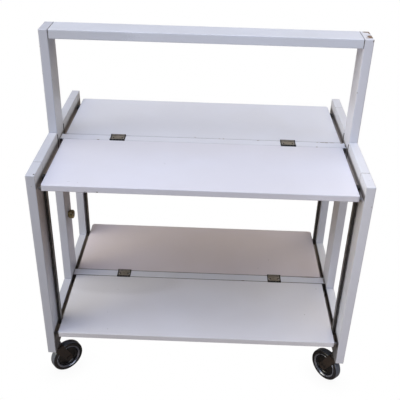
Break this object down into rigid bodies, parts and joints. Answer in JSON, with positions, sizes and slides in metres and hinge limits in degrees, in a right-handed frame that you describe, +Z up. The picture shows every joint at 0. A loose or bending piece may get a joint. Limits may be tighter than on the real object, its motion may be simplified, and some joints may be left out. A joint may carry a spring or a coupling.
{
  "type": "room service table",
  "caption": "White lacquered folding serving trolley with hinged shelf leaves, hinged side frames, a flat top handle and swivel casters.",
  "frame": {"origin": "on the floor, midway between the side frames and between the front and back legs", "axes": "+X along the shelves to the right, +Y from the front to the back, +Z up"},
  "size_m": [0.7145, 0.473, 0.808],
  "materials": {
    "white_lacquer": "satin white lacquer over wood",
    "birch": "bare dowel wood",
    "dark_steel": "black painted flat steel",
    "screw_steel": "zinc plated, dulled",
    "bronze": "dark antique bronze",
    "amber_knob": "aged amber brass",
    "fork_enamel": "black enamel",
    "wheel_enamel": "glossy black enamel",
    "tyre_rubber": "dark grey rubber"
  },
  "bodies": {
    "frame": {"left_post": "white_lacquer", "right_post": "white_lacquer", "handle_bar": "white_lacquer", "upper_centre_bar": "white_lacquer", "lower_centre_bar": "white_lacquer", "front_left_leg": "white_lacquer", "front_left_top_rail": "white_lacquer", "front_left_bottom_rail": "white_lacquer", "front_left_gate_hinges": "bronze", "front_right_leg": "white_lacquer", "front_right_top_rail": "white_lacquer", "front_right_bottom_rail": "white_lacquer", "front_right_gate_hinges": "bronze", "back_left_leg": "white_lacquer", "back_left_top_rail": "white_lacquer", "back_left_bottom_rail": "white_lacquer", "back_left_gate_hinges": "bronze", "back_right_leg": "white_lacquer", "back_right_top_rail": "white_lacquer", "back_right_bottom_rail": "white_lacquer", "back_right_gate_hinges": "bronze", "frame_dowels": "birch", "support_pegs": "screw_steel", "stop_knob": "amber_knob", "stop_knob_screw": "screw_steel", "upper_hinge_plates": "bronze", "lower_hinge_plates": "bronze", "upper_hinge_pins": "screw_steel", "lower_hinge_pins": "screw_steel", "caster_stems": "screw_steel"},
    "upper_front_shelf": {"upper_front_leaf": "white_lacquer", "upper_front_hinge_flanges": "bronze", "upper_front_pivot_screws": "screw_steel"},
    "lower_front_shelf": {"lower_front_leaf": "white_lacquer", "lower_front_hinge_flanges": "bronze", "lower_front_pivot_screws": "screw_steel"},
    "front_left_tie": {"front_left_tie_bar": "dark_steel"},
    "front_right_tie": {"front_right_tie_bar": "dark_steel"},
    "upper_back_shelf": {"upper_back_leaf": "white_lacquer", "upper_back_hinge_flanges": "bronze", "upper_back_pivot_screws": "screw_steel"},
    "lower_back_shelf": {"lower_back_leaf": "white_lacquer", "lower_back_hinge_flanges": "bronze", "lower_back_pivot_screws": "screw_steel"},
    "back_left_tie": {"back_left_tie_bar": "dark_steel"},
    "back_right_tie": {"back_right_tie_bar": "dark_steel"},
    "front_left_swivel": {"front_left_fork": "fork_enamel"},
    "front_left_roller": {"front_left_wheel": "wheel_enamel", "front_left_tyre": "tyre_rubber"},
    "front_right_swivel": {"front_right_fork": "fork_enamel"},
    "front_right_roller": {"front_right_wheel": "wheel_enamel", "front_right_tyre": "tyre_rubber"},
    "back_left_swivel": {"back_left_fork": "fork_enamel"},
    "back_left_roller": {"back_left_wheel": "wheel_enamel", "back_left_tyre": "tyre_rubber"},
    "back_right_swivel": {"back_right_fork": "fork_enamel"},
    "back_right_roller": {"back_right_wheel": "wheel_enamel", "back_right_tyre": "tyre_rubber"}
  },
  "joints": [
    {"name": "upper_front_fold", "type": "hinge", "parent": "frame", "child": "upper_front_shelf", "pos_m": [0, -0.013, 0.5512], "axis": [-1, 0, 0], "range_deg": [0, 90]},
    {"name": "lower_front_fold", "type": "hinge", "parent": "frame", "child": "lower_front_shelf", "pos_m": [0, -0.013, 0.1562], "axis": [-1, 0, 0], "range_deg": [0, 90]},
    {"name": "front_left_tie_pivot", "type": "hinge", "parent": "upper_front_shelf", "child": "front_left_tie", "pos_m": [-0.3235, -0.188, 0.543], "axis": [-1, 0, 0], "range_deg": [-90, 0]},
    {"name": "front_right_tie_pivot", "type": "hinge", "parent": "upper_front_shelf", "child": "front_right_tie", "pos_m": [0.3235, -0.188, 0.543], "axis": [-1, 0, 0], "range_deg": [-90, 0]},
    {"name": "upper_back_fold", "type": "hinge", "parent": "frame", "child": "upper_back_shelf", "pos_m": [0, 0.013, 0.5512], "axis": [1, 0, 0], "range_deg": [0, 90]},
    {"name": "lower_back_fold", "type": "hinge", "parent": "frame", "child": "lower_back_shelf", "pos_m": [0, 0.013, 0.1562], "axis": [1, 0, 0], "range_deg": [0, 90]},
    {"name": "back_left_tie_pivot", "type": "hinge", "parent": "upper_back_shelf", "child": "back_left_tie", "pos_m": [-0.3235, 0.188, 0.543], "axis": [1, 0, 0], "range_deg": [-90, 0]},
    {"name": "back_right_tie_pivot", "type": "hinge", "parent": "upper_back_shelf", "child": "back_right_tie", "pos_m": [0.3235, 0.188, 0.543], "axis": [1, 0, 0], "range_deg": [-90, 0]},
    {"name": "front_left_caster_swivel", "type": "hinge", "parent": "frame", "child": "front_left_swivel", "pos_m": [-0.341, -0.206, 0.085], "axis": [0, 0, 1], "continuous": true},
    {"name": "front_left_wheel_spin", "type": "hinge", "parent": "front_left_swivel", "child": "front_left_roller", "pos_m": [-0.32062, -0.18829, 0.04], "axis": [-0.6561, 0.7547, 0], "continuous": true},
    {"name": "front_right_caster_swivel", "type": "hinge", "parent": "frame", "child": "front_right_swivel", "pos_m": [0.341, -0.206, 0.085], "axis": [0, 0, 1], "continuous": true},
    {"name": "front_right_wheel_spin", "type": "hinge", "parent": "front_right_swivel", "child": "front_right_roller", "pos_m": [0.32365, -0.18532, 0.04], "axis": [-0.766, -0.6428, 0], "continuous": true},
    {"name": "back_left_caster_swivel", "type": "hinge", "parent": "frame", "child": "back_left_swivel", "pos_m": [-0.341, 0.206, 0.085], "axis": [0, 0, 1], "continuous": true},
    {"name": "back_left_wheel_spin", "type": "hinge", "parent": "back_left_swivel", "child": "back_left_roller", "pos_m": [-0.32062, 0.18829, 0.04], "axis": [0.6561, 0.7547, 0], "continuous": true},
    {"name": "back_right_caster_swivel", "type": "hinge", "parent": "frame", "child": "back_right_swivel", "pos_m": [0.341, 0.206, 0.085], "axis": [0, 0, 1], "continuous": true},
    {"name": "back_right_wheel_spin", "type": "hinge", "parent": "back_right_swivel", "child": "back_right_roller", "pos_m": [0.32365, 0.18532, 0.04], "axis": [0.766, -0.6428, 0], "continuous": true}
  ],
  "couplings": [
    {"joint": "front_left_tie_pivot", "follows": "upper_front_fold", "ratio": -1},
    {"joint": "front_right_tie_pivot", "follows": "upper_front_fold", "ratio": -1},
    {"joint": "lower_front_fold", "follows": "upper_front_fold", "ratio": 1},
    {"joint": "back_left_tie_pivot", "follows": "upper_back_fold", "ratio": -1},
    {"joint": "back_right_tie_pivot", "follows": "upper_back_fold", "ratio": -1},
    {"joint": "lower_back_fold", "follows": "upper_back_fold", "ratio": 1}
  ]
}
